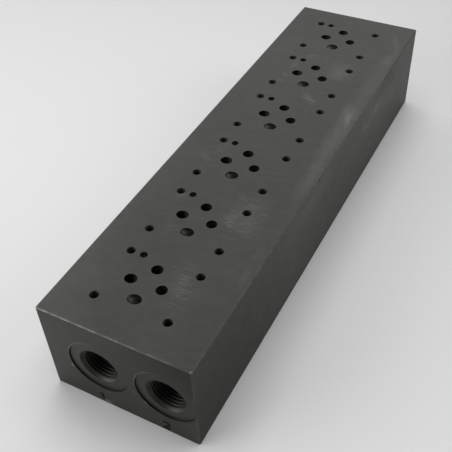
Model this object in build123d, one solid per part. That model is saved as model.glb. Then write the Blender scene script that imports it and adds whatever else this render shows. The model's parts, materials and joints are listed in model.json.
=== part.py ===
from build123d import *
from math import cos, radians, tan
import os

# Six-station bar manifold for size 6 directional valves, in millimetres.
# One block of ductile iron: every passage in it is drilled, and nothing is fitted to it.
# The origin is the centre of the underside. +Z points up through the valve face, +Y runs
# along the bar, and +X is the plain side. The work ports are in the other long side, and
# both ends have the two supply ports.

# Block
STATIONS = 6
STATION_PITCH = 50.0
END_MARGIN = 35.0                   # from an end face to the middle of the nearest valve
BLOCK_LENGTH = (STATIONS - 1) * STATION_PITCH + 2 * END_MARGIN
BLOCK_WIDTH = 85.0
BLOCK_HEIGHT = 60.0
EDGE_CHAMFER = 0.6

# Valve pattern of ISO 4401-03 for one station, measured from the middle of the valve,
# whose length lies across the bar
VALVE_CENTRE_X = -2.5
BOLT_NEAR_X = 21.5                  # the two bolt holes towards the plain side
BOLT_NEAR_SPAN_Y = 31.0
BOLT_FAR_X = -19.0                  # the two towards the work ports, set slightly wider
BOLT_FAR_SPAN_Y = 32.5
PIN_X = -11.5
PIN_Y = 16.25
WORK_A_X = 8.8
WORK_B_X = -8.7
PRESSURE_Y = 10.4
TANK_Y = -10.4

# Screw holes for the valves, M5 at the thread's major radius, and the locating pin's hole
SCREW_RADIUS = 2.5
SCREW_DEPTH = 13.0
PIN_RADIUS = 2.0
PIN_DEPTH = 4.0                     # of its straight wall
DRILL_POINT_ANGLE = 118.0

# Drillings. A slant is in degrees off the vertical, positive towards +X.
FLOW_RADIUS = 3.0
CROSS_RADIUS = 3.5
GALLERY_RADIUS = 8.0
GALLERY_Z = BLOCK_HEIGHT / 2
PRESSURE_GALLERY_X = -12.0
TANK_GALLERY_X = 26.0
PRESSURE_SLANT = -18.0
TANK_SLANT = 38.0
WORK_B_SLANT = -29.0
CROSS_OVERRUN = 4.0                 # how far a cross drilling runs past the axis that it meets

# Supply ports, G1/2 at the thread's major radius
SUPPLY_SPOT_RADIUS = 17.0
SUPPLY_MOUTH_RADIUS = 11.2
SUPPLY_THREAD_RADIUS = 20.955 / 2
SUPPLY_THREAD_DEPTH = 16.0

# Work ports, G3/8 at the thread's major radius, one above the other at each station
WORK_SPOT_RADIUS = 14.0
WORK_THREAD_RADIUS = 16.662 / 2
WORK_THREAD_DEPTH = 13.0
WORK_A_PORT_Z = 15.0
WORK_B_PORT_Z = 45.0
SPOT_DEPTH = 0.8                    # of every port's spotface

# Fixing holes in the underside, M8 at the thread's major radius
FIXING_SPAN_X = 64.0
FIXING_SPAN_Y = 300.0
FIXING_RADIUS = 4.0
FIXING_DEPTH = 14.0

OVERCUT = 1.0                       # how far a cutter stands out of the face that it enters


def hole(radius, depth):
    """A blind hole's cutter, entering at Z = 0 and going down."""
    height = depth + OVERCUT
    return Pos(0, 0, OVERCUT - height / 2) * Cylinder(radius, height)


def drilled_hole(radius, depth):
    """A blind hole's cutter with the cone that a drill's point leaves below the straight wall."""
    cone_height = radius / tan(radians(DRILL_POINT_ANGLE / 2))
    cone = Pos(0, 0, -depth - cone_height / 2) * Cone(0, radius, cone_height)
    return hole(radius, depth) + cone


def port(spot_radius, mouth_radius, thread_radius, thread_depth):
    """A parallel pipe port's cutter: spotface, countersunk mouth and thread bore, going down."""
    outline = [
        (0, OVERCUT),
        (spot_radius, OVERCUT),
        (spot_radius, -SPOT_DEPTH),
        (mouth_radius, -SPOT_DEPTH),
        (thread_radius, -SPOT_DEPTH - (mouth_radius - thread_radius)),
        (thread_radius, -thread_depth),
        (0, -thread_depth),
    ]
    profile = Polyline(*[(radius, 0, height) for radius, height in outline], close=True)
    return revolve(make_face(profile), Axis.Z)


def supply_port():
    return port(SUPPLY_SPOT_RADIUS, SUPPLY_MOUTH_RADIUS, SUPPLY_THREAD_RADIUS, SUPPLY_THREAD_DEPTH)


def work_port():
    plain_spot = hole(WORK_SPOT_RADIUS, SPOT_DEPTH)
    return plain_spot + hole(WORK_THREAD_RADIUS, WORK_THREAD_DEPTH)


def slanted_hole(x, y, slant, bottom_z):
    """A drilling from the valve face down to a level, tipped about Y, its mouth at (x, y)."""
    length = (BLOCK_HEIGHT - bottom_z) / cos(radians(slant))
    shank = 2 * FLOW_RADIUS         # enough above the face for a tipped drill to break it
    drill = Pos(0, 0, (shank - length) / 2) * Cylinder(FLOW_RADIUS, length + shank)
    return Location((x, y, BLOCK_HEIGHT), (0, -slant, 0)) * drill


def valve_screws(centre_y):
    """The four screw holes and the locating pin's hole of one station."""
    screw = hole(SCREW_RADIUS, SCREW_DEPTH)
    cutters = []
    for bolt_x, span in ((BOLT_NEAR_X, BOLT_NEAR_SPAN_Y), (BOLT_FAR_X, BOLT_FAR_SPAN_Y)):
        pair = Pos(VALVE_CENTRE_X + bolt_x, centre_y, BLOCK_HEIGHT) * GridLocations(0, span, 1, 2)
        cutters += [place * screw for place in pair]
    pin_place = Pos(VALVE_CENTRE_X + PIN_X, centre_y + PIN_Y, BLOCK_HEIGHT)
    return cutters + [pin_place * drilled_hole(PIN_RADIUS, PIN_DEPTH)]


def supply_drillings(centre_y):
    """P and T of one station, each slanted into the gallery that serves it."""
    return [
        slanted_hole(VALVE_CENTRE_X, centre_y + PRESSURE_Y, PRESSURE_SLANT, GALLERY_Z),
        slanted_hole(VALVE_CENTRE_X, centre_y + TANK_Y, TANK_SLANT, GALLERY_Z),
    ]


def work_drillings(centre_y):
    """A and B of one station, with their ports in the side, one above the other.

    A drops straight between the galleries to a cross drilling under the pressure gallery.
    B slants outwards to meet a short cross drilling above that gallery.
    """
    a_x = VALVE_CENTRE_X + WORK_A_X
    b_x = VALVE_CENTRE_X + WORK_B_X
    b_meet_x = b_x + (BLOCK_HEIGHT - WORK_B_PORT_Z) * tan(radians(WORK_B_SLANT))
    cutters = [
        slanted_hole(a_x, centre_y, 0, WORK_A_PORT_Z),
        slanted_hole(b_x, centre_y, WORK_B_SLANT, WORK_B_PORT_Z),
    ]
    for port_z, meet_x in ((WORK_A_PORT_Z, a_x), (WORK_B_PORT_Z, b_meet_x)):
        into_side = Location((-BLOCK_WIDTH / 2, centre_y, port_z), (0, -90, 0))
        cross_length = meet_x + BLOCK_WIDTH / 2 + CROSS_OVERRUN
        cutters += [into_side * work_port(), into_side * hole(CROSS_RADIUS, cross_length)]
    return cutters


def galleries():
    """The two drillings along the bar, with a port at each end."""
    bore = Rotation(90, 0, 0) * Cylinder(GALLERY_RADIUS, BLOCK_LENGTH)
    near_end = Location((0, -BLOCK_LENGTH / 2, 0), (90, 0, 0))
    far_end = Location((0, BLOCK_LENGTH / 2, 0), (-90, 0, 0))
    cutters = []
    for gallery_x in (PRESSURE_GALLERY_X, TANK_GALLERY_X):
        gallery = Pos(gallery_x, 0, GALLERY_Z)
        cutters += [gallery * bore, gallery * near_end * supply_port(), gallery * far_end * supply_port()]
    return cutters


def fixing_holes():
    """Four screw holes near the corners of the underside."""
    screw = Rotation(180, 0, 0) * hole(FIXING_RADIUS, FIXING_DEPTH)
    return [corner * screw for corner in GridLocations(FIXING_SPAN_X, FIXING_SPAN_Y, 2, 2)]


def manifold_block():
    blank = Pos(0, 0, BLOCK_HEIGHT / 2) * Box(BLOCK_WIDTH, BLOCK_LENGTH, BLOCK_HEIGHT)
    blank = chamfer(blank.edges(), EDGE_CHAMFER)
    cutters = galleries() + fixing_holes()
    for station in range(STATIONS):
        centre_y = -BLOCK_LENGTH / 2 + END_MARGIN + station * STATION_PITCH
        cutters += valve_screws(centre_y) + supply_drillings(centre_y) + work_drillings(centre_y)
    return blank - cutters


os.makedirs("parts", exist_ok=True)
export_step(manifold_block(), "parts/manifold_block.step")
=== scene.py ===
import json
from math import pi, radians

import bpy
import numpy as np
from bpy.props import FloatProperty, FloatVectorProperty, IntProperty, PointerProperty
from mathutils import Matrix, Vector


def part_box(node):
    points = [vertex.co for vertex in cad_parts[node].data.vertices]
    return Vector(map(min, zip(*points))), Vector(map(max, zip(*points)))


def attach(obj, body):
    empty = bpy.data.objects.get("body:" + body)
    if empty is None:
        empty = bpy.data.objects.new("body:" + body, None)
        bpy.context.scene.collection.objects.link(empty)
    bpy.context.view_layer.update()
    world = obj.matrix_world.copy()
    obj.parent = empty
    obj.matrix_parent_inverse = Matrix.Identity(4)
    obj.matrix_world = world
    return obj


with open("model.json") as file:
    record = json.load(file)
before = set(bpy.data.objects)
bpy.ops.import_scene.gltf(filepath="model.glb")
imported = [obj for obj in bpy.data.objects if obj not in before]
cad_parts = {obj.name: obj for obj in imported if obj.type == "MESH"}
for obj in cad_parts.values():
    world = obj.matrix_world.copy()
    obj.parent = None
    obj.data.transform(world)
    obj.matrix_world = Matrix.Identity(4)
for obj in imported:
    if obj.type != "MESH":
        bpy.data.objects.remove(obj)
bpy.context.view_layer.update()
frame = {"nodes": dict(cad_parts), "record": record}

# Six-station hydraulic manifold block: phosphated iron, tapped ports and two port numbers.
# The block itself is the frame's one node. This file gives it its finish, cuts the threads as
# sleeves that line its bores, and stamps a plain number under each port of the near end.
# Lengths are in metres, and in millimetres inside the materials.

bl_info = {
    "name": "Hydraulic manifold block",
    "version": (1, 0, 0),
    "blender": (4, 5, 0),
    "location": "View3D > Sidebar > Manifold",
    "description": "Finish, threads and port numbers of a six-station manifold block",
    "category": "Add Mesh",
}

MM = 0.001
BLOCK = "manifold_block"
BODY = "root"
LOW, HIGH = (np.array(corner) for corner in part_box(BLOCK))
HALF_WIDTH, HALF_LENGTH, HEIGHT = HIGH
MOUNTS = {mount["name"]: mount for mount in frame["record"]["mounts"]}

# Places that the shape of the block gives, in its own frame
SPOT_DEPTH = 0.8 * MM
SUPPLY_MOUTH_RADIUS = 11.2 * MM
PRESSURE_PORT_X = MOUNTS["pressure_port_near_end"]["pos_m"][0]
TANK_PORT_X = MOUNTS["tank_port_near_end"]["pos_m"][0]
PORT_Z = MOUNTS["tank_port_near_end"]["pos_m"][2]
SCREW_DEPTH = 13 * MM
FIXING_DEPTH = 14 * MM

# How far each sleeve stands in front of a bore's wall, and how far it is sunk behind it
SLEEVE_PROUD = 0.05 * MM
SLEEVE_SUNK = 0.05 * MM

# Depth of a thread's profile for each metre of pitch: pipe threads, and metric nuts
PIPE_THREAD_DEPTH = 0.6403
METRIC_THREAD_DEPTH = 0.5413
# Steps of a sleeve along one pitch
SUPPLY_STEPS = 8
WORK_STEPS = 7
SCREW_STEPS = 5

# The plain number under each port of the near end, and where its middle stands
PORT_NUMBERS = {
    "stamped_pressure_number": (1, -13.9 * MM),
    "stamped_tank_number": (2, 23.9 * MM),
}
NUMBER_Z = 4.9 * MM

# The table: half its side, and its gap below the block so that the two faces never coincide
TABLE_REACH = 2.5
TABLE_GAP = 0.05 * MM


# ---------------------------------------------------------------- settings

class FinishSettings(bpy.types.PropertyGroup):
    iron: FloatVectorProperty(
        name="Phosphated iron", description="Colour of the dark phosphate coat",
        subtype="COLOR", size=3, min=0, max=1, default=(0.0512, 0.0528, 0.0450))
    # Also the colour of the painted highlights on edges, port rims, drilled walls and thread crests.
    rubbed_and_highlight: FloatVectorProperty(
        name="Rubbed iron", description="Colour where handling has polished the coat thin",
        subtype="COLOR", size=3, min=0, max=1, default=(0.20, 0.20, 0.185))
    dried_oil: FloatVectorProperty(
        name="Dried oil", description="Tint of the haze that wiped oil leaves on the coat",
        subtype="COLOR", size=3, min=0, max=1, default=(0.0510, 0.0530, 0.0500))
    # Painted shade: the near-black that the deep drillings and the thread sleeves are darkened
    # towards.
    shade: FloatVectorProperty(
        name="Deep shade", description="Colour of oily walls inside the drillings and grooves",
        subtype="COLOR", size=3, min=0, max=1, default=(0.012, 0.012, 0.012))
    # Painted shade in the bottom of each stamped figure.
    groove: FloatVectorProperty(
        name="Stamped groove", description="Colour in the bottom of a stamped figure",
        subtype="COLOR", size=3, min=0, max=1, default=(0.006, 0.006, 0.008))
    roughness: FloatProperty(
        name="Roughness", description="Roughness of the phosphate coat",
        min=0, max=1, default=0.48)
    grain: FloatProperty(
        name="Grain", description="Size of the phosphate crystals",
        unit="LENGTH", subtype="DISTANCE", default=0.35 * MM)


class ThreadSettings(bpy.types.PropertyGroup):
    supply_pitch: FloatProperty(
        name="Supply port pitch", description="Pitch of the half-inch pipe thread",
        unit="LENGTH", subtype="DISTANCE", default=1.814 * MM)
    work_pitch: FloatProperty(
        name="Work port pitch", description="Pitch of the three-eighths pipe thread",
        unit="LENGTH", subtype="DISTANCE", default=1.337 * MM)
    screw_pitch: FloatProperty(
        name="Valve screw pitch", description="Pitch of the 5 mm thread",
        unit="LENGTH", subtype="DISTANCE", default=0.8 * MM)
    fixing_pitch: FloatProperty(
        name="Fixing screw pitch", description="Pitch of the 8 mm thread",
        unit="LENGTH", subtype="DISTANCE", default=1.25 * MM)
    supply_around: IntProperty(
        name="Supply port steps", description="Steps round a supply port",
        min=12, default=84)
    work_around: IntProperty(
        name="Work port steps", description="Steps round a work port",
        min=12, default=60)
    small_around: IntProperty(
        name="Screw hole steps", description="Steps round a screw hole",
        min=12, default=28)


class MarkSettings(bpy.types.PropertyGroup):
    height: FloatProperty(
        name="Figure height", description="Height of the port numbers",
        unit="LENGTH", subtype="DISTANCE", default=5.4 * MM)
    stroke: FloatProperty(
        name="Stroke", description="Width of a figure's groove",
        unit="LENGTH", subtype="DISTANCE", default=1.4 * MM)
    burr: FloatProperty(
        name="Burr height", description="How far the metal is raised beside a groove",
        unit="LENGTH", subtype="DISTANCE", default=0.12 * MM)


class StageSettings(bpy.types.PropertyGroup):
    floor: FloatVectorProperty(
        name="Floor", description="Colour of the pale table",
        subtype="COLOR", size=3, min=0, max=1, default=(0.735, 0.735, 0.735))
    # Painted shade: how much darker the table is painted beyond the far end.
    falloff: FloatProperty(
        name="Falloff", description="How much darker the table is beyond the far end",
        min=0, max=1, default=0.24)
    sky: FloatProperty(
        name="Sky", description="Strength of the even light from all round",
        min=0, default=0.14)
    lamp_size: FloatProperty(
        name="Lamp size", description="Side of each of the square softboxes",
        unit="LENGTH", subtype="DISTANCE", default=0.8)
    back_width: FloatProperty(
        name="Back width", description="Width of the back softbox",
        unit="LENGTH", subtype="DISTANCE", default=1.5)
    overhead: FloatProperty(
        name="Overhead lamp", description="Power of the softbox straight above",
        unit="POWER", min=0, default=5.4)
    overhead_place: FloatVectorProperty(
        name="Overhead place", description="Where the overhead softbox hangs",
        subtype="TRANSLATION", size=3, default=(0.0, 0.0, 1.0))
    back: FloatProperty(
        name="Back lamp", description="Power of the softbox beyond the far end",
        unit="POWER", min=0, default=5.4)
    back_place: FloatVectorProperty(
        name="Back place", description="Where the back softbox hangs",
        subtype="TRANSLATION", size=3, default=(-0.452, 0.671, 0.588))
    fill: FloatProperty(
        name="Fill lamp", description="Power of the low softbox at the near left",
        unit="POWER", min=0, default=6.4)
    fill_place: FloatVectorProperty(
        name="Fill place", description="Where the fill softbox stands",
        subtype="TRANSLATION", size=3, default=(-0.683, -0.683, 0.259))
    side: FloatProperty(
        name="Side lamp", description="Power of the low softbox at the far right",
        unit="POWER", min=0, default=2.8)
    side_place: FloatVectorProperty(
        name="Side place", description="Where the side softbox stands",
        subtype="TRANSLATION", size=3, default=(0.785, 0.366, 0.5))
    camera_place: FloatVectorProperty(
        name="Camera place", description="Where the camera stands",
        subtype="TRANSLATION", size=3, default=(0.1492, -0.3103, 0.3233))
    camera_aim: FloatVectorProperty(
        name="Camera aim", description="The point in the block that the lens points at",
        subtype="TRANSLATION", size=3, default=(-0.0019, -0.0458, 0.0300))
    camera_roll: FloatProperty(
        name="Camera roll", description="Turn of the camera about its own axis",
        subtype="ANGLE", default=radians(-3.05))
    camera_lens: FloatProperty(
        name="Lens", description="Focal length in millimetres on a 36 mm sensor",
        subtype="DISTANCE_CAMERA", default=58.55)


# ---------------------------------------------------------------- shader maths

class Field:
    """A number that varies over a surface. Arithmetic with it adds Math nodes."""

    def __init__(self, shader, socket):
        self.shader = shader
        self.socket = socket

    def __add__(self, other):
        return self.shader.maths("ADD", self, other)

    def __sub__(self, other):
        return self.shader.maths("SUBTRACT", self, other)

    def __mul__(self, other):
        return self.shader.maths("MULTIPLY", self, other)

    def __rsub__(self, other):
        return self.shader.maths("SUBTRACT", other, self)

    __radd__ = __add__
    __rmul__ = __mul__

    def __abs__(self):
        return self.shader.maths("ABSOLUTE", self)

    def least(self, other):
        return self.shader.maths("MINIMUM", self, other)

    def sine(self):
        return self.shader.maths("SINE", self)

    def rises(self, low, high):
        """0 below low and 1 above high, with a smooth step between."""
        node = self.shader.node(
            "ShaderNodeMapRange", {"interpolation_type": "SMOOTHSTEP"},
            {"Value": self, "From Min": low, "From Max": high})
        return Field(self.shader, node.outputs["Result"])

    def within(self, low, high, soft):
        """1 between low and high and 0 outside, with soft edges that wide."""
        return self.rises(low - soft, low + soft) * (1 - self.rises(high - soft, high + soft))


class Shader:
    """One material: its nodes, and the fields that every finish here is worked out from."""

    def __init__(self, name):
        self.material = bpy.data.materials.new(name)
        self.material.use_nodes = True
        self.tree = self.material.node_tree
        self.tree.nodes.clear()
        coordinates = self.node("ShaderNodeTexCoord")
        in_mm = self.node(
            "ShaderNodeVectorMath", {"operation": "SCALE"},
            {"Vector": coordinates.outputs["Object"], "Scale": 1 / MM})
        self.place = in_mm.outputs["Vector"]
        self.x, self.y, self.z = self.parts(self.place)
        self.east, self.north, self.up = self.parts(coordinates.outputs["Normal"])

    def node(self, kind, settings=None, sockets=None):
        """A node of a type: its settings first, then a value or a link for each input socket."""
        made = self.tree.nodes.new(kind)
        for name, value in (settings or {}).items():
            setattr(made, name, value)
        for name, value in (sockets or {}).items():
            value = value.socket if isinstance(value, Field) else value
            if isinstance(value, bpy.types.NodeSocket):
                self.tree.links.new(value, made.inputs[name])
            else:
                made.inputs[name].default_value = value
        return made

    def maths(self, operation, *values):
        made = self.node("ShaderNodeMath", {"operation": operation}, dict(enumerate(values)))
        return Field(self, made.outputs[0])

    def parts(self, vector):
        """The three numbers of a vector, as fields."""
        split = self.node("ShaderNodeSeparateXYZ", None, {"Vector": vector})
        return [Field(self, output) for output in split.outputs]

    def join(self, x, y):
        """Two fields as a place on a flat face."""
        return self.node("ShaderNodeCombineXYZ", None, {"X": x, "Y": y}).outputs["Vector"]

    def noise(self, size, detail, roughness, stretch=(1, 1, 1), turn=0):
        """Cloudy noise about 0.5, whose lumps are about that many millimetres across.

        The lumps are stretched along the axes, which are first turned about the third one.
        """
        squeezed = self.node(
            "ShaderNodeMapping", {"vector_type": "TEXTURE"},
            {"Vector": self.place, "Rotation": (0, 0, radians(turn)),
             "Scale": [size * factor for factor in stretch]})
        made = self.node(
            "ShaderNodeTexNoise", None,
            {"Vector": squeezed.outputs["Vector"], "Scale": 1.0, "Detail": detail,
             "Roughness": roughness})
        return Field(self, made.outputs["Fac"])

    def patch(self, vector, centre, half_size, turn, broken, soft):
        """An elliptical patch, in millimetres on a face, whose edge a noise breaks up."""
        local = self.node(
            "ShaderNodeMapping", {"vector_type": "TEXTURE"},
            {"Vector": vector, "Location": (*centre, 0), "Rotation": (0, 0, radians(turn)),
             "Scale": (*half_size, 1)})
        reach = self.node(
            "ShaderNodeVectorMath", {"operation": "LENGTH"}, {0: local.outputs["Vector"]})
        distance = Field(self, reach.outputs["Value"]) + broken
        return 1 - distance.rises(1 - soft, 1)

    def colour(self, factor, first, second):
        """A mix of two colours, each a value or a socket."""
        first, second = (
            (*value, 1) if isinstance(value, tuple) else value
            for value in (first, second))
        made = self.node(
            "ShaderNodeMix", {"data_type": "RGBA"}, {0: factor, 6: first, 7: second})
        return made.outputs[2]

    def bump(self, height, distance, strength, below=None):
        """A normal tipped by a height field from 0 to 1 that stands for that distance."""
        sockets = {"Height": height, "Distance": distance, "Strength": strength}
        if below:
            sockets["Normal"] = below
        return self.node("ShaderNodeBump", None, sockets).outputs["Normal"]

    def attribute(self, name):
        """A number that the mesh itself carries."""
        made = self.node("ShaderNodeAttribute", {"attribute_name": name})
        return Field(self, made.outputs["Fac"])

    def scaled(self, colour, factor):
        """A colour made lighter or darker by a field."""
        made = self.node(
            "ShaderNodeVectorMath", {"operation": "SCALE"}, {"Vector": colour, "Scale": factor})
        return made.outputs["Vector"]

    def finish(self, **sockets):
        """Close the material with a Principled shader."""
        named = {name.replace("_", " "): value for name, value in sockets.items()}
        surface = self.node("ShaderNodeBsdfPrincipled", None, named)
        self.node("ShaderNodeOutputMaterial", None, {"Surface": surface.outputs["BSDF"]})
        return self.material


# ---------------------------------------------------------------- materials

def colour_of(values):
    return tuple(values)


# Where the coat is paler, or below 0 darker: centre and half size in millimetres, turn in degrees, and
# by how much. Broad clouds first, partly dried oil and partly painted sheen and painted shade for the
# light that falls across each face, then the streaked band by the right edge, then smears that a cloth
# left among the screw holes.
# On the valve face the two numbers run across the block and along it.
# Broad clouds on the valve face: dried oil, and painted sheen lighter at the near left and painted
# shade darker at the near right and far left.
VALVE_FACE_OIL_AND_PAINTED_SHEEN = (
    ((-48, -165), (45, 100), 0, 0.40),
    ((-46, -60), (28, 80), 0, 0.10),
    ((44, -150), (34, 70), 0, -0.12),
    ((-20, 150), (60, 60), 0, -0.06),
    ((20, -62), (17, 24), 0, 0.10),
    ((14, 88), (14, 18), 0, 0.14),
    ((38, 40), (9, 130), 0, 0.10),
)
VALVE_FACE_BAND = (
    ((37.5, -20), (5.5, 26), -3, 0.14),
    ((36.5, 24), (7, 44), 0, 0.17),
    ((36, 42), (2.8, 17), 18, 0.13),
    ((35, 46), (6, 17), 12, 0.14),
    ((37, 88), (8, 45), 0, 0.06),
    ((36.5, 113), (6, 9), 0, 0.13),
    ((39, 127), (2.5, 13), 4, 0.12),
    ((34, 139), (2.6, 15), 24, 0.13),
    ((38, -100), (3, 10), 0, 0.15),
    ((37, -85), (3.5, 9), 0, 0.10),
)
VALVE_FACE_SMEARS = (
    ((13, -119), (8, 20), 14, 0.15),
    ((15, -116), (9, 12), 30, 0.07),
    ((22, -65), (12, 17), 0, 0.14),
    ((13, -63), (8, 13), -20, 0.12),
    ((12, -49), (5, 6), 0, 0.08),
    ((6.5, 52), (4.2, 10), 42, 0.22),
    ((10, 48.5), (3, 4), 0, 0.10),
    ((14, 86), (8, 12), 0, 0.10),
    ((0, 99.5), (1.5, 2.6), 0, 0.22),
    ((-10, 98), (6, 4), 0, 0.10),
    ((-19, -62), (5, 4), 0, 0.18),
    ((-13, -86), (6, 7), 0, 0.08),
    ((-24, -26), (4, 10), 30, 0.11),
    ((-19, -17), (3.5, 9), -20, 0.13),
    ((-17, 62), (5, 3), 0, 0.12),
    ((-18, 70), (3, 3.5), 0, 0.13),
    ((-17, 84), (3.5, 6), 0, 0.16),
)
# On the plain side they run along the block and up it
# Broad clouds on the plain side: painted shade that darkens it, most of all towards the near end, two
# paler clouds of dried oil, and a small dark nick in the top edge.
PLAIN_SIDE_OIL_AND_PAINTED_SHADE = (
    ((-165, 30), (120, 80), 0, -0.30),
    ((75, 42), (50, 18), 0, 0.08),
    ((-30, 50), (50, 18), 0, 0.09),
    ((0, 30), (150, 60), 0, -0.08),
    ((145, 25), (60, 50), 0, -0.14),
    ((100, 54), (38, 18), 0, -0.18),
    ((-100, 30), (60, 60), 0, -0.06),
    ((-17.5, 58.4), (1.6, 1.4), 0, -0.90),
)
PLAIN_SIDE_SMEARS = (
    ((60, 43), (14, 2.8), -18, 0.16),
    ((81, 44.5), (17, 3.0), 11, 0.20),
    ((83, 45.5), (11, 2), 8, 0.14),
    ((-20, 50), (30, 9), 0, 0.04),
    ((148, 30), (12, 30), 0, 0.05),
)
# On the ported ends they run across the block and up it
# Painted shade over the right and upper part of each ported end, and painted light on its left, for
# the light that falls across the ends.
PORTED_END_PAINTED_LIGHT_AND_SHADE = (
    ((44, 62), (50, 55), 0, -0.34),
    ((-42, 40), (26, 34), 0, 0.06),
)
# Bright nicks in the near end and its edges
NEAR_END_NICKS = (
    ((-11.0, 2.3), (3.2, 1.5), 0, 0.70),
    ((-28.6, 22.6), (1.0, 1.2), 0, 0.60),
    ((13.2, 17.8), (1.8, 1.0), -40, 0.50),
    ((7.2, 22.6), (0.9, 1.0), 0, 0.40),
    ((42.2, 59.8), (1.2, 1.0), 0, 0.60),
)


def phosphated_iron(finish):
    """Phosphated ductile iron, milled all over, with wiped oil, worn edges and faced ports, and
    painted light and shade on its faces, edges, port rims and drillings.
    """
    s = Shader("phosphated_iron")
    half_width, half_length, height = HALF_WIDTH / MM, HALF_LENGTH / MM, HEIGHT / MM

    # how far a point is inside each pair of outer faces
    in_x = half_width - abs(s.x)
    in_y = half_length - abs(s.y)
    in_z = height / 2 - abs(s.z - height / 2)
    inside = in_x.least(in_y).least(in_z)
    painted_bore_light = inside.rises(1.0, 1.6)
    edge = (in_x + in_z).least(in_y + in_z).least(in_x + in_y)
    on_length = (1 - (in_x + in_z).rises(0.6, 0.8)) * (s.z - height / 2).rises(0, 1)

    on_top = s.up.rises(0.8, 0.95) * (1 - in_z.rises(0.3, 0.5))
    on_side = s.east.rises(0.8, 0.95) * (1 - in_x.rises(0.3, 0.5))
    on_end = abs(s.north).rises(0.8, 0.95) * (1 - in_y.rises(1.0, 1.2))

    # coat: a coarse mottle and crystals
    mottle = s.noise(11, 5, 0.65)
    crystals = s.noise(finish.grain / MM, 3, 0.7)
    shade = 1 + (mottle - 0.5) * 0.46 + (crystals - 0.5) * 0.30

    # dried oil: broad clouds, which also carry painted light and shade, and strokes of a cloth that
    # cross the block at two slants
    strokes = s.noise(0.8, 3, 0.6, stretch=(11, 1, 11), turn=36).rises(0.42, 0.66)
    crossing = s.noise(0.8, 3, 0.6, stretch=(9, 1, 9), turn=2).rises(0.42, 0.66)
    lengthwise = s.noise(1.1, 3, 0.6, stretch=(1, 14, 1), turn=10).rises(0.36, 0.68)
    wipes = s.noise(2.8, 3, 0.6, stretch=(6, 1, 6), turn=10) - 0.5
    torn = (s.noise(6, 4, 0.6) - 0.5) * 1.2
    ragged = torn - (strokes + crossing - 0.9) * 0.4
    on_valve_face, on_plain_side, on_ported_end = s.join(s.x, s.y), s.join(s.y, s.z), s.join(s.x, s.z)

    def spread(face, vector, marks, broken, soft):
        """The sum of the patches in a list, on one face."""
        total = s.maths("ADD", 0.0, 0.0)
        for centre, half_size, turn, strength in marks:
            total = total + s.patch(vector, centre, half_size, turn, broken, soft) * strength
        return total * face

    # The broad clouds: partly dried oil, mostly painted light and shade across the faces.
    haze = (
        spread(on_top, on_valve_face, VALVE_FACE_OIL_AND_PAINTED_SHEEN, torn * 0.3, 1.0)
        + spread(on_side, on_plain_side, PLAIN_SIDE_OIL_AND_PAINTED_SHADE, torn * 0.3, 1.0)
        + spread(on_end, on_ported_end, PORTED_END_PAINTED_LIGHT_AND_SHADE, torn * 0.3, 1.0))
    smears = (
        spread(on_top, on_valve_face, VALVE_FACE_SMEARS, ragged, 1.0)
        + spread(on_side, on_plain_side, PLAIN_SIDE_SMEARS, ragged, 1.0))
    band = spread(on_top, on_valve_face, VALVE_FACE_BAND, torn * 0.4, 0.7)
    faint = on_top * ((strokes + crossing - 0.8) * 0.035 + wipes * 0.18)
    faint = faint + (1 - on_top) * (lengthwise - 0.5) * 0.08
    # Lighter or darker coat from dried oil, and from the painted light and shade of the broad clouds.
    oil = smears * (0.8 + 0.8 * strokes + 0.7 * crossing) + faint + haze
    oil = oil + band * (0.55 + 0.95 * lengthwise)

    # worn edges with painted highlights, most of all the near edge of the valve face, and nicks in the
    # near end
    near_end = 1 - (s.y + half_length).rises(0.9, 1.1)
    wear_and_highlight = 1 - edge.rises(0.6, 1.1)
    near_top = near_end * in_z.within(0.15, 0.55, 0.12)
    broken = s.noise(3.5, 4, 0.7).rises(0.40, 0.62)
    # Painted highlight: the near top edge brightest at its left and fading to the right, and the long
    # top edges lighter towards the far end.
    fade = 1 - s.x.rises(-30, 45) * 0.8
    painted_long_edge_highlight = on_length * s.y.rises(-80, 90) * 0.34
    wear_and_highlight = wear_and_highlight * (0.04 + 0.12 * broken + near_top * fade * (0.20 + 0.28 * broken) + painted_long_edge_highlight)
    chipped = (s.noise(1.2, 3, 0.7) - 0.5) * 1.6
    wear_and_highlight = wear_and_highlight + spread(near_end, on_ported_end, NEAR_END_NICKS, chipped, 0.6)

    # facing cuts round the ports, and a painted highlight on the burr at their upper left, where it
    # catches the light
    from_ports = []
    burr = s.maths("ADD", 0.0, 0.0)
    for port_x in (PRESSURE_PORT_X / MM, TANK_PORT_X / MM):
        reach = s.node(
            "ShaderNodeVectorMath", {"operation": "DISTANCE"},
            {0: s.join(s.x, s.z), 1: (port_x, PORT_Z / MM, 0)})
        from_ports.append(Field(s, reach.outputs["Value"]))
        painted_highlight_upper_left = (port_x - s.x).rises(-2, 12) * s.z.rises(22, 38)
        burr = burr + from_ports[-1].within(17.0, 17.7, 0.15) * painted_highlight_upper_left
    from_port = from_ports[0].least(from_ports[1])
    faced = (1 - from_port.rises(16.6, 16.8)) * on_end
    rings = (from_port * (2 * pi / 1.1)).sine() * 0.5 + 0.5
    wear_and_highlight = wear_and_highlight + burr * near_end * (0.25 + 0.30 * broken)

    base = s.colour(
        (on_top * 0.6 + smears * 2).least(1.0), colour_of(finish.iron), colour_of(finish.dried_oil))
    base = s.colour(wear_and_highlight.least(1.0), base, colour_of(finish.rubbed_and_highlight))
    # Painted light: the drilled walls paler from their mouths in; then painted shade, near black,
    # deeper in the drillings.
    base = s.colour(painted_bore_light * 0.5, base, colour_of(finish.rubbed_and_highlight))
    base = s.colour(inside.rises(3.5, 9) * 0.9, base, colour_of(finish.shade))
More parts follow.
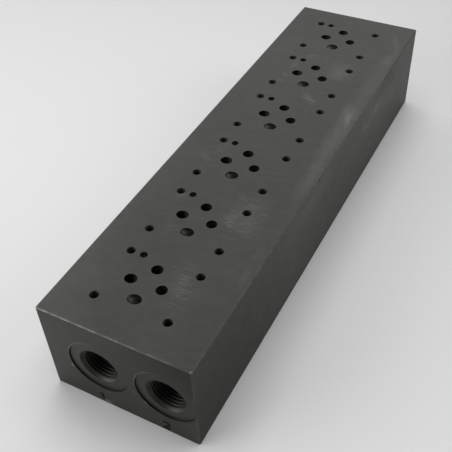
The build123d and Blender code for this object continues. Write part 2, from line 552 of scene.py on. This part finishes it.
    # Painted shade in the countersunk mouths of the supply ports.
    painted_mouth_shade = from_port.within(10.4, 11.3, 0.1) * (1 - in_y.rises(1.6, 2.0))
    shade = shade * (1 + oil) * (1 - faced * rings * 0.12) * (1 - painted_mouth_shade * 0.4)

    roughness = finish.roughness + (mottle - 0.5) * 0.16 + (crystals - 0.5) * 0.14
    roughness = roughness - wear_and_highlight * 0.12 - faced * 0.05 - oil * 0.3

    feed = (s.noise(0.5, 2, 0.5, stretch=(1, 60, 1)) - 0.5) * on_top + 0.5
    normal = s.bump(crystals, 0.02 * MM, 0.5)
    normal = s.bump(feed, 0.01 * MM, 0.4, normal)
    normal = s.bump(rings * faced, 0.02 * MM, 0.5, normal)
    return s.finish(
        Base_Color=s.scaled(base, shade), Roughness=roughness, Metallic=0.9, Normal=normal)


def cut_thread(finish):
    """The same coat on cut flanks: a painted highlight on the crests, and painted shade that deepens
    with depth.
    """
    s = Shader("cut_thread")
    crystals = s.noise(finish.grain / MM, 3, 0.7)
    mottle = s.noise(2.5, 3, 0.6)
    crest, depth = s.attribute("crest"), s.attribute("depth")
    # Painted highlight along the crests, and painted shade over the whole sleeve that deepens further
    # in.
    rubbed_and_highlight = crest.rises(0.55, 1.0) * 0.12 * mottle
    base = s.colour(rubbed_and_highlight, colour_of(finish.iron), colour_of(finish.rubbed_and_highlight))
    base = s.colour(0.35 + depth.rises(0.0, 1.0) * 0.3, base, colour_of(finish.shade))
    shade = 1 + (mottle - 0.5) * 0.3 + (crystals - 0.5) * 0.2
    return s.finish(
        Base_Color=s.scaled(base, shade), Roughness=0.5 + (mottle - 0.5) * 0.2,
        Metallic=0.9, Normal=s.bump(crystals, 0.02 * MM, 0.4))


def stamped_groove(finish):
    """A stamped figure: painted shade in the groove, and worn pale here and there on its burr."""
    s = Shader("stamped_groove")
    mottle = s.noise(3.0, 3, 0.6)
    across = s.attribute("across")
    # Painted shade in the bottom of the groove.
    groove = 1 - across.rises(0.55, 0.85)
    burr = across.rises(0.72, 0.95) * mottle.rises(0.48, 0.6)
    base = s.colour(groove, colour_of(finish.iron), colour_of(finish.groove))
    base = s.colour(burr * 0.8, base, colour_of(finish.rubbed_and_highlight))
    return s.finish(
        Base_Color=base, Roughness=0.6 + (mottle - 0.5) * 0.2, Metallic=0.9,
        Normal=s.bump(mottle, 0.02 * MM, 0.4))


def table_top(stage):
    """A plain pale table, with painted shade that makes it a little darker away from the near end."""
    s = Shader("table_top")
    shade = 1 - s.y.rises(-100, 450) * stage.falloff
    base = s.scaled(tuple(stage.floor), shade)
    return s.finish(Base_Color=base, Roughness=0.55, Specular_IOR_Level=0.2)


# ---------------------------------------------------------------- meshes

def add_piece(name, points, faces, material, body, attributes=None):
    """A mesh object at the origin with smooth faces that point outwards."""
    mesh = bpy.data.meshes.new(name)
    mesh.from_pydata(points.tolist(), [], faces)
    for label, values in (attributes or {}).items():
        layer = mesh.attributes.new(label, "FLOAT", "POINT")
        layer.data.foreach_set("value", values.astype(np.float32))
    mesh.polygons.foreach_set("use_smooth", np.ones(len(mesh.polygons), bool))
    mesh.materials.append(material)
    mesh.validate()
    mesh.update()
    piece = bpy.data.objects.new(name, mesh)
    bpy.context.scene.collection.objects.link(piece)
    if body:
        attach(piece, body)
    return piece


def ring_faces(rows, columns):
    """Quads of a grid that closes on itself both ways, as index rows."""
    row, column = np.meshgrid(np.arange(rows), np.arange(columns), indexing="ij")
    next_row, next_column = (row + 1) % rows, (column + 1) % columns
    corners = (
        row * columns + column, row * columns + next_column,
        next_row * columns + next_column, next_row * columns + column)
    return np.stack(corners, -1).reshape(-1, 4)


def thread_sleeve(mouth, into, radius, depth, pitch, profile_depth, start, around, steps):
    """Points, faces, crest and depth of one internal thread, as a closed sleeve.

    At an angle a and a depth d, the wall stands at the bore's radius less the thread's height,
    which is a rounded triangle wave of d / pitch - a / turn. Near the mouth the wall is no
    nearer to the axis than a 45 degree cone, and near the bottom the wave dies away into the
    tapping drill's radius. The outer wall is a plain cylinder, sunk behind the bore's wall.
    """
    into = np.array(into, float)
    aside = np.cross(into, (0.0, 0.0, 1.0) if abs(into[2]) < 0.5 else (1.0, 0.0, 0.0))
    aside /= np.linalg.norm(aside)
    other = np.cross(into, aside)
    root = radius - SLEEVE_PROUD
    height = profile_depth * pitch - SLEEVE_PROUD
    count = int(round((depth - start) / pitch * steps)) + 1
    angle = np.linspace(0, 2 * pi, around, endpoint=False)[None, :]
    along = np.linspace(start, depth, count)[:, None]
    wave = np.abs(((along / pitch - angle / (2 * pi)) % 1.0) * 2 - 1)
    form = np.clip(wave * 1.5 - 0.25, 0, 1)
    form = form * form * (3 - 2 * form)
    fade = np.clip((depth - along) / pitch - 0.6, 0, 1)
    form = form * fade + 0.85 * (1 - fade)
    wall = np.maximum(root - height * form, root - (along - start))
    radii = np.vstack([wall, np.full((2, around), radius + SLEEVE_SUNK)])
    depths = np.vstack([along + 0 * angle, np.full((1, around), depth), np.full((1, around), start)])
    turns = np.broadcast_to(angle, radii.shape)
    points = (
        np.array(mouth) + depths[..., None] * into
        + (radii * np.cos(turns))[..., None] * aside
        + (radii * np.sin(turns))[..., None] * other)
    crest = (root - radii) / height
    deep = depths / depth
    faces = ring_faces(*radii.shape)
    return points.reshape(-1, 3), faces[:, ::-1].tolist(), crest.ravel(), deep.ravel()


def joined(parts):
    """Several sets of points, faces and fields as one."""
    points, faces, *fields = zip(*parts)
    bases = np.cumsum([0] + [len(some) for some in points])
    corners = [[base + corner for corner in face] for some, base in zip(faces, bases) for face in some]
    return np.vstack(points), corners, *(np.concatenate(field) for field in fields)


def add_threads(name, sleeves, material):
    points, faces, crest, depth = joined(sleeves)
    return add_piece(name, points, faces, material, BODY, {"crest": crest, "depth": depth})


def mouth_of(mount, outward):
    """The middle of a hole's mouth on the block's outer face, and the way in."""
    place = np.array(mount["pos_m"], float)
    axis = int(np.argmax(np.abs(outward)))
    place[axis] = HIGH[axis] if outward[axis] > 0 else LOW[axis]
    return place, -np.array(outward, float)


def pattern_holes(mount):
    """The middles of a bolt pattern's holes."""
    dims = mount["dims"]
    across, along = (dims.get(f"spacing_{side}_mm", 0.0) * MM / 2 for side in "xy")
    steps = {(i * across, j * along) for i in (-1, 1) for j in (-1, 1)}
    return [np.array(mount["pos_m"]) + (dx, dy, 0) for dx, dy in sorted(steps)]


# ---------------------------------------------------------------- stamped figures

def arc(centre, radius, start, end, count=14):
    """Points round a centre from one angle to another, in degrees."""
    angle = np.radians(np.linspace(start, end, count))
    return np.column_stack([centre[0] + radius * np.cos(angle), centre[1] + radius * np.sin(angle)])


def figure_path(figure):
    """The line of a 1 or a 2 one unit high, drawn in a single stroke."""
    if figure == 1:
        return np.array([(0.22, 0.78), (0.42, 0.94), (0.5, 1.0), (0.5, 0.96), (0.5, 0.5), (0.5, 0.0)])
    return np.vstack([arc((0.45, 0.71), 0.29, 165, -38), [(0.2, 0.06), (0.14, 0.0), (0.8, 0.0)]])


def stamped_figure(figure, middle_x, height, stroke, burr):
    """Points, faces and the place across the groove of one figure on the near end.

    A small section is carried along the figure's line: foot, burr, groove, burr, foot, and a
    flat underside sunk in the block. Its ends are closed with flat faces.
    """
    line = (figure_path(figure) - (0.46, 0.5)) * height
    step = np.gradient(line, axis=0)
    step /= np.linalg.norm(step, axis=1)[:, None]
    normal = np.column_stack([-step[:, 1], step[:, 0]])
    half = stroke / 2
    across = np.array([-1.75, -1.0, 0.0, 1.0, 1.75, 1.2, -1.2]) * half
    lift = np.array([-0.3, 1.0, 0.06, 1.0, -0.3, -0.8, -0.8]) * burr
    flat = line[:, None, :] + across[None, :, None] * normal[:, None, :]
    x = middle_x + flat[..., 0]
    z = NUMBER_Z + flat[..., 1]
    y = np.broadcast_to(LOW[1] - lift, x.shape)
    points = np.stack([x, y, z], -1).reshape(-1, 3)
    rows, columns = x.shape
    faces = ring_faces(rows, columns)[: (rows - 1) * columns, ::-1]
    caps = [list(range(columns)), list(range((rows - 1) * columns, rows * columns))[::-1]]
    place_across = np.broadcast_to(np.minimum(np.abs(across) / half, 1.75) / 1.75, x.shape)
    return points, faces.tolist() + caps, place_across.ravel()


# ---------------------------------------------------------------- operators

class MANIFOLD_OT_finish_block(bpy.types.Operator):
    """Give the block its phosphated iron finish"""
    bl_idname = "manifold.finish_block"
    bl_label = "Finish block"

    def execute(self, context):
        node = frame["nodes"][BLOCK]
        material = phosphated_iron(context.scene.manifold_finish)
        for slot in node.material_slots:
            slot.material = material
        return {"FINISHED"}


class MANIFOLD_OT_tap_supply_ports(bpy.types.Operator):
    """Cut the threads of the four supply ports"""
    bl_idname = "manifold.tap_supply_ports"
    bl_label = "Tap supply ports"

    def execute(self, context):
        threads = context.scene.manifold_threads
        sleeves = []
        for name, mount in MOUNTS.items():
            if name.endswith("_end"):
                mouth, into = mouth_of(mount, mount["axis"])
                radius = mount["dims"]["r_mm"] * MM
                start = SPOT_DEPTH + SUPPLY_MOUTH_RADIUS - radius
                depth = start + mount["dims"]["length_mm"] * MM
                sleeves.append(thread_sleeve(
                    mouth, into, radius, depth, threads.supply_pitch, PIPE_THREAD_DEPTH,
                    start, threads.supply_around, SUPPLY_STEPS))
        add_threads("supply_port_threads", sleeves, cut_thread(context.scene.manifold_finish))
        return {"FINISHED"}


class MANIFOLD_OT_tap_work_ports(bpy.types.Operator):
    """Cut the threads of the twelve work ports"""
    bl_idname = "manifold.tap_work_ports"
    bl_label = "Tap work ports"

    def execute(self, context):
        threads = context.scene.manifold_threads
        sleeves = []
        for name, mount in MOUNTS.items():
            if "_work_port_" in name:
                mouth, into = mouth_of(mount, mount["axis"])
                radius = mount["dims"]["r_mm"] * MM
                depth = SPOT_DEPTH + mount["dims"]["length_mm"] * MM
                sleeves.append(thread_sleeve(
                    mouth, into, radius, depth, threads.work_pitch, PIPE_THREAD_DEPTH,
                    SPOT_DEPTH + 0.01 * MM, threads.work_around, WORK_STEPS))
        add_threads("work_port_threads", sleeves, cut_thread(context.scene.manifold_finish))
        return {"FINISHED"}


class MANIFOLD_OT_tap_screw_holes(bpy.types.Operator):
    """Cut the threads of the valve screw holes and of the fixing holes underneath"""
    bl_idname = "manifold.tap_screw_holes"
    bl_label = "Tap screw holes"

    def execute(self, context):
        threads = context.scene.manifold_threads
        material = cut_thread(context.scene.manifold_finish)
        for label, part, pitch, depth in (
                ("valve_screw_threads", "_screws_", threads.screw_pitch, SCREW_DEPTH),
                ("fixing_hole_threads", "fixing_", threads.fixing_pitch, FIXING_DEPTH)):
            sleeves = []
            for name, mount in MOUNTS.items():
                if part in name:
                    radius = mount["dims"]["hole_r_mm"] * MM
                    for middle in pattern_holes(mount):
                        mouth, into = mouth_of({"pos_m": middle}, mount["axis"])
                        sleeves.append(thread_sleeve(
                            mouth, into, radius, depth, pitch, METRIC_THREAD_DEPTH,
                            0.02 * MM, threads.small_around, SCREW_STEPS))
            add_threads(label, sleeves, material)
        return {"FINISHED"}


class MANIFOLD_OT_stamp_numbers(bpy.types.Operator):
    """Stamp a plain number under each port of the near end"""
    bl_idname = "manifold.stamp_numbers"
    bl_label = "Stamp port numbers"

    def execute(self, context):
        marks = context.scene.manifold_marks
        material = stamped_groove(context.scene.manifold_finish)
        for label, (figure, middle_x) in PORT_NUMBERS.items():
            points, faces, across = stamped_figure(
                figure, middle_x, marks.height, marks.stroke, marks.burr)
            add_piece(label, points, faces, material, BODY, {"across": across})
        return {"FINISHED"}


class MANIFOLD_OT_set_stage(bpy.types.Operator):
    """Lay the pale table, hang the lamps and stand the camera"""
    bl_idname = "manifold.set_stage"
    bl_label = "Set stage"

    def execute(self, context):
        stage = context.scene.manifold_stage
        under = LOW[2] - TABLE_GAP
        corners = np.array([
            (x * TABLE_REACH, y * TABLE_REACH, under)
            for x, y in ((-1, -1), (1, -1), (1, 1), (-1, 1))])
        add_piece("table", corners, [[0, 1, 2, 3]], table_top(stage), None)

        world = bpy.data.worlds.new("even_light")
        world.use_nodes = True
        background = world.node_tree.nodes["Background"]
        background.inputs["Color"].default_value = (1, 1, 1, 1)
        background.inputs["Strength"].default_value = stage.sky
        context.scene.world = world

        for label in ("overhead", "back", "fill", "side"):
            lamp = bpy.data.lights.new(label + "_softbox", "AREA")
            lamp.shape = "RECTANGLE"
            lamp.size = stage.back_width if label == "back" else stage.lamp_size
            lamp.size_y = stage.lamp_size
            lamp.energy = getattr(stage, label)
            softbox = bpy.data.objects.new(label + "_softbox", lamp)
            place = Vector(getattr(stage, label + "_place"))
            facing = (-place).to_track_quat("-Z", "Y")
            softbox.matrix_world = Matrix.Translation(place) @ facing.to_matrix().to_4x4()
            context.scene.collection.objects.link(softbox)

        lens = bpy.data.cameras.new("camera")
        lens.lens = stage.camera_lens
        camera = bpy.data.objects.new("camera", lens)
        place = Vector(stage.camera_place)
        facing = (Vector(stage.camera_aim) - place).to_track_quat("-Z", "Y").to_matrix().to_4x4()
        turn = Matrix.Rotation(stage.camera_roll, 4, "Z")
        camera.matrix_world = Matrix.Translation(place) @ facing @ turn
        context.scene.collection.objects.link(camera)
        context.scene.camera = camera
        context.scene.view_settings.view_transform = "Standard"
        return {"FINISHED"}


class MANIFOLD_PT_sidebar(bpy.types.Panel):
    """The manifold block's settings and steps"""
    bl_idname = "MANIFOLD_PT_sidebar"
    bl_label = "Manifold block"
    bl_space_type = "VIEW_3D"
    bl_region_type = "UI"
    bl_category = "Manifold"

    def draw(self, context):
        for operator in OPERATORS:
            self.layout.operator(operator.bl_idname)
        for name in SETTINGS:
            group = getattr(context.scene, name)
            box = self.layout.box()
            for field in group.__annotations__:
                box.prop(group, field)


OPERATORS = (
    MANIFOLD_OT_finish_block,
    MANIFOLD_OT_tap_supply_ports,
    MANIFOLD_OT_tap_work_ports,
    MANIFOLD_OT_tap_screw_holes,
    MANIFOLD_OT_stamp_numbers,
    MANIFOLD_OT_set_stage,
)
SETTINGS = {
    "manifold_finish": FinishSettings,
    "manifold_threads": ThreadSettings,
    "manifold_marks": MarkSettings,
    "manifold_stage": StageSettings,
}


def register():
    for kind in (*SETTINGS.values(), *OPERATORS, MANIFOLD_PT_sidebar):
        bpy.utils.register_class(kind)
    for name, group in SETTINGS.items():
        setattr(bpy.types.Scene, name, PointerProperty(type=group))


def unregister():
    for name in SETTINGS:
        delattr(bpy.types.Scene, name)
    for kind in (MANIFOLD_PT_sidebar, *reversed(OPERATORS), *SETTINGS.values()):
        bpy.utils.unregister_class(kind)


def main():
    register()
    bpy.ops.manifold.set_stage()
    bpy.ops.manifold.finish_block()
    bpy.ops.manifold.tap_supply_ports()
    bpy.ops.manifold.tap_work_ports()
    bpy.ops.manifold.tap_screw_holes()
    bpy.ops.manifold.stamp_numbers()


if __name__ == "__main__":
    main()
